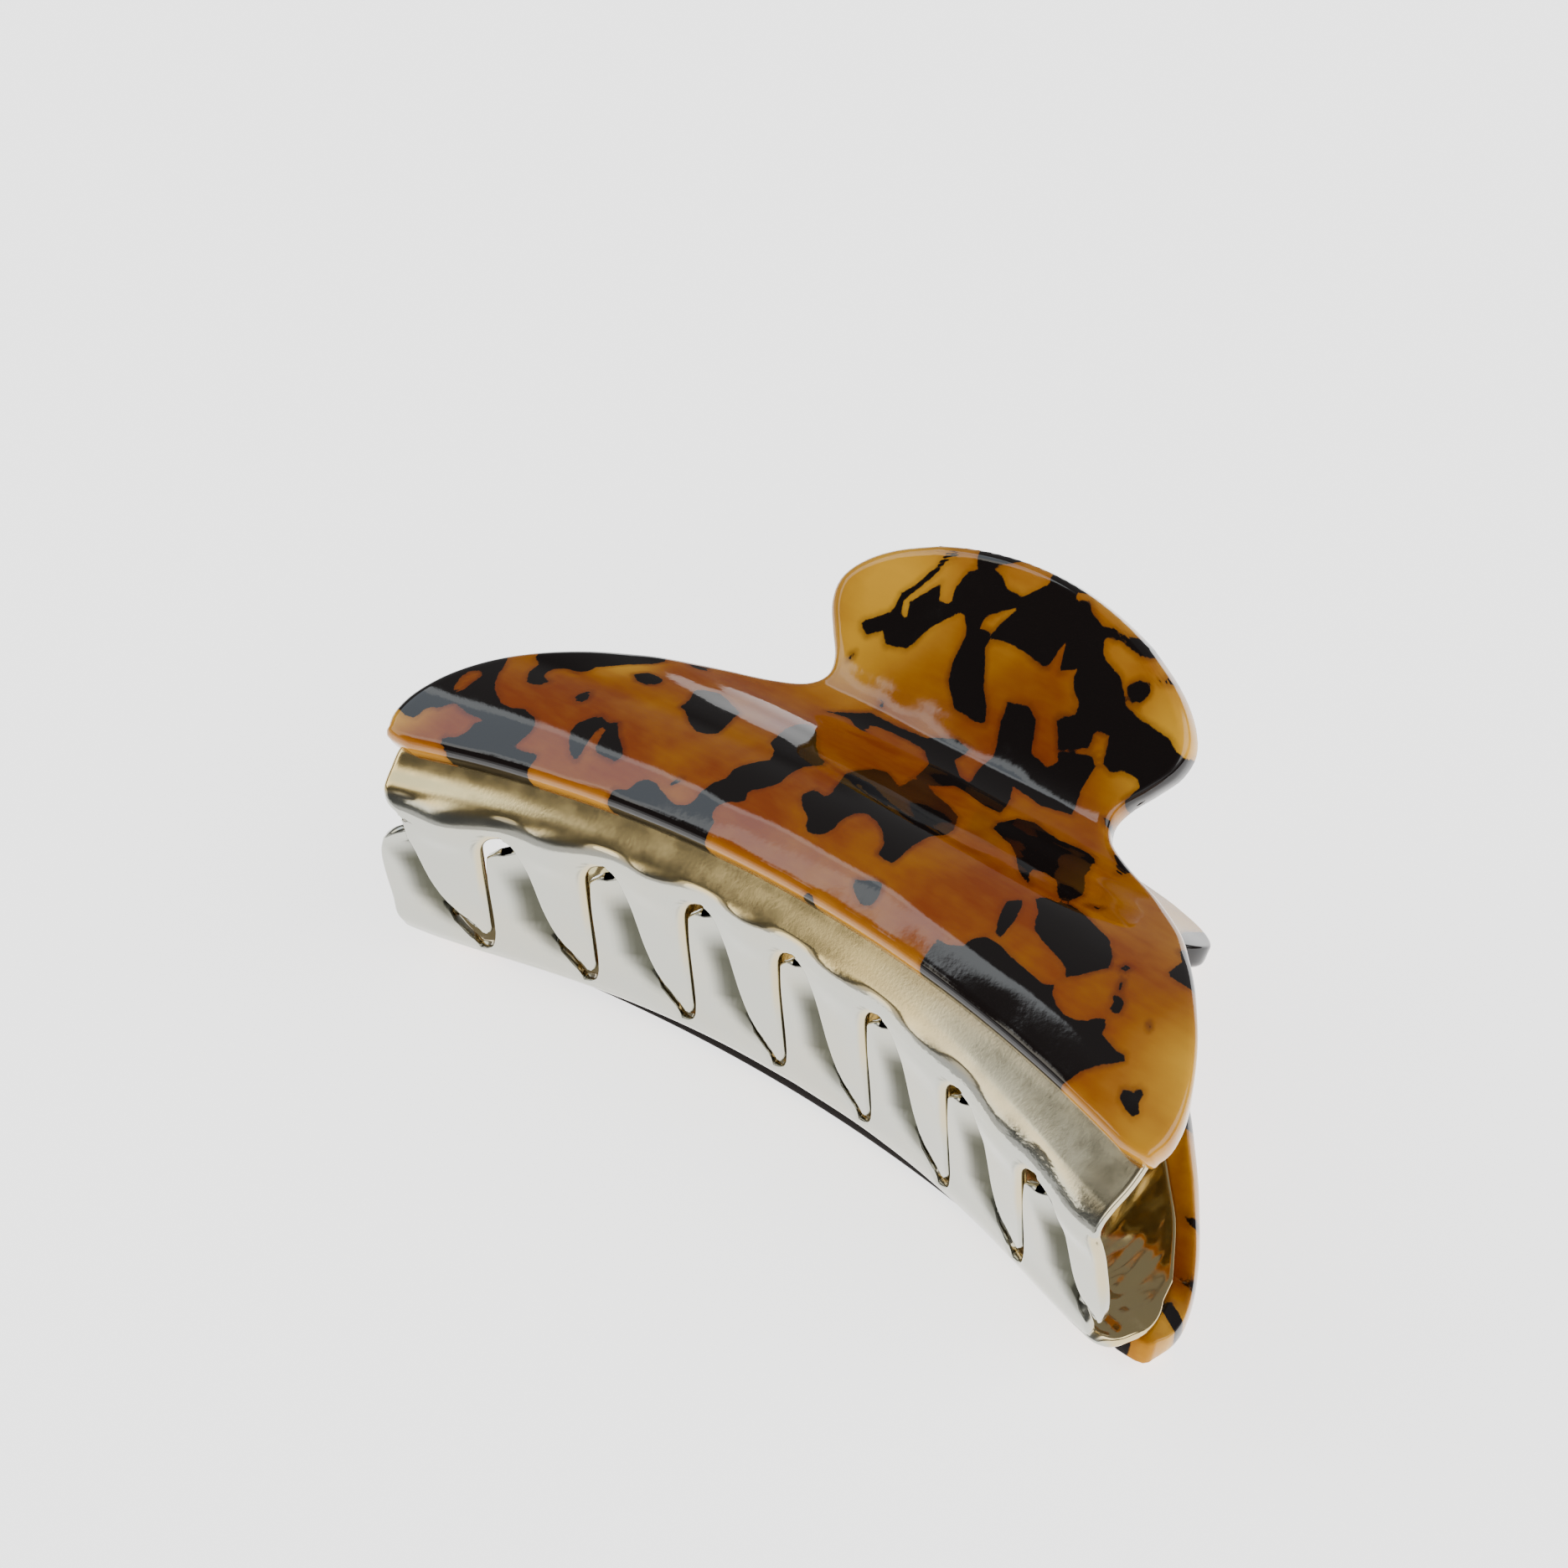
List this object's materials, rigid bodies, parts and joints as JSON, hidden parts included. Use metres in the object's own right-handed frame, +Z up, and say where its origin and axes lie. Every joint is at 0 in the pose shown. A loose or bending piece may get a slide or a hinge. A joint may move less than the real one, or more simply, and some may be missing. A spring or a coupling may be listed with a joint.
{
  "type": "hair claw clip",
  "caption": "Half-moon hair claw clip: curved acetate covers on sprung, interlocking toothed metal jaws, lying closed on its side.",
  "frame": {"origin": "the middle of the box round the clip, on the surface that it lies on", "axes": "+X along the clip's length, +Y from the teeth to the thumb tabs, +Z up"},
  "size_m": [0.1052, 0.0658, 0.0489],
  "materials": {
    "tortoiseshell_acetate": "polished tortoiseshell acetate sheet",
    "pale_gold_plate": "bright pale gold plating on die-cast zinc alloy",
    "spring_steel": "plain drawn wire"
  },
  "bodies": {
    "lower_half": {"lower_cover": "tortoiseshell_acetate", "lower_jaw": "pale_gold_plate", "hinge_pin": "spring_steel", "hinge_spring": "spring_steel"},
    "upper_half": {"upper_cover": "tortoiseshell_acetate", "upper_jaw": "pale_gold_plate", "spring_arm": "spring_steel"}
  },
  "joints": [
    {"name": "jaw_hinge", "type": "hinge", "parent": "lower_half", "child": "upper_half", "pos_m": [0, 0.00488, 0.02203], "axis": [-1, 0, 0], "range_deg": [0, 60], "stiffness_Nm_per_rad": 0.23, "springref_deg": -29.79}
  ]
}
